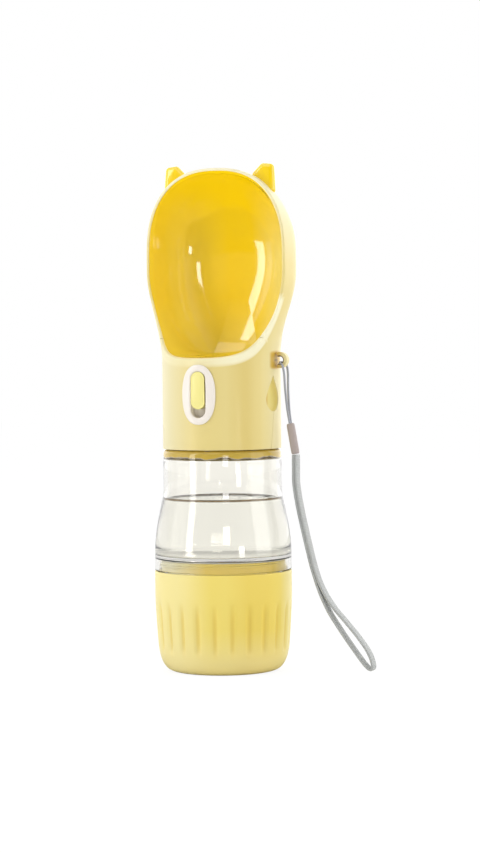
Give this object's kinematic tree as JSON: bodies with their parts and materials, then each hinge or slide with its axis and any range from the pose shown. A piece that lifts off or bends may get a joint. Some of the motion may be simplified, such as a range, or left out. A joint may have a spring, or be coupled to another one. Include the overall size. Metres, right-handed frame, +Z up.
{
  "type": "dog travel water bottle",
  "caption": "Hand-held water bottle with a clear reservoir, scoop-shaped drinking bowl with small ears, press-button valve, screw-off food cup and wrist strap.",
  "frame": {"origin": "centre of the food cup's base, on the surface that the bottle stands on", "axes": "+Z up along the bottle, -Y towards the press button and the open side of the bowl, +X towards the strap"},
  "size_m": [0.1132, 0.066, 0.2433],
  "materials": {
    "cup_plastic": "satin, slightly translucent",
    "shell_plastic": "semi-gloss",
    "bowl_plastic": "gloss",
    "button_plastic": "satin",
    "white_plastic": "semi-gloss",
    "clear_plastic": "clear",
    "silicone": "matt, translucent",
    "black_rubber": "matt",
    "spring_steel": "drawn wire",
    "cord": "braided",
    "cord_sleeve": "moulded",
    "webbing": "woven"
  },
  "bodies": {
    "cup": {"food_cup": "cup_plastic"},
    "cup_seal": {"cup_gasket": "silicone"},
    "bottle": {"bottle_body": "clear_plastic"},
    "neck_seal": {"neck_gasket": "silicone"},
    "head": {"inner_cap": "shell_plastic", "valve_seal": "silicone", "valve_body": "white_plastic", "stem_o_ring": "black_rubber", "valve_spring": "spring_steel", "riser_seal": "silicone", "rear_shell": "shell_plastic", "front_cover": "shell_plastic", "bowl": "bowl_plastic", "ear_left": "bowl_plastic", "ear_right": "bowl_plastic", "button_bezel": "white_plastic", "slider_guide": "white_plastic", "lanyard_cord": "cord", "cord_sleeve": "cord_sleeve", "wrist_strap": "webbing"},
    "lock": {"lock_slider": "white_plastic"},
    "button": {"button": "button_plastic"},
    "valve": {"valve_stem": "white_plastic", "stopper": "silicone"}
  },
  "joints": [
    {"name": "cup_turn", "type": "hinge", "parent": "cup", "child": "cup_seal", "pos_m": [0, 0, 0.0536], "axis": [0, 0, 1], "range_deg": [0, 450]},
    {"name": "bottle_rise", "type": "slide", "parent": "cup_seal", "child": "bottle", "axis": [0, 0, 1], "range_m": [0, 0.005]},
    {"name": "head_turn", "type": "hinge", "parent": "bottle", "child": "neck_seal", "pos_m": [0, 0, 0.1138], "axis": [0, 0, 1], "range_deg": [0, 540]},
    {"name": "head_rise", "type": "slide", "parent": "neck_seal", "child": "head", "axis": [0, 0, 1], "range_m": [0, 0.006]},
    {"name": "button_lock", "type": "slide", "parent": "head", "child": "lock", "axis": [0, 0, -1], "range_m": [0, 0.0036]},
    {"name": "button_press", "type": "slide", "parent": "lock", "child": "button", "axis": [0, 1, 0], "range_m": [0, 0.003], "stiffness_N_per_m": 700, "springref_m": -0.001},
    {"name": "valve_lift", "type": "slide", "parent": "head", "child": "valve", "axis": [0, 0, 1], "range_m": [0, 0.003], "deforming": ["valve_spring"]}
  ],
  "couplings": [
    {"joint": "cup_turn", "follows": "bottle_rise", "rad_per_m": 1570.8},
    {"joint": "head_turn", "follows": "head_rise", "rad_per_m": 1570.8},
    {"joint": "valve_lift", "follows": "button_press", "ratio": 1}
  ]
}
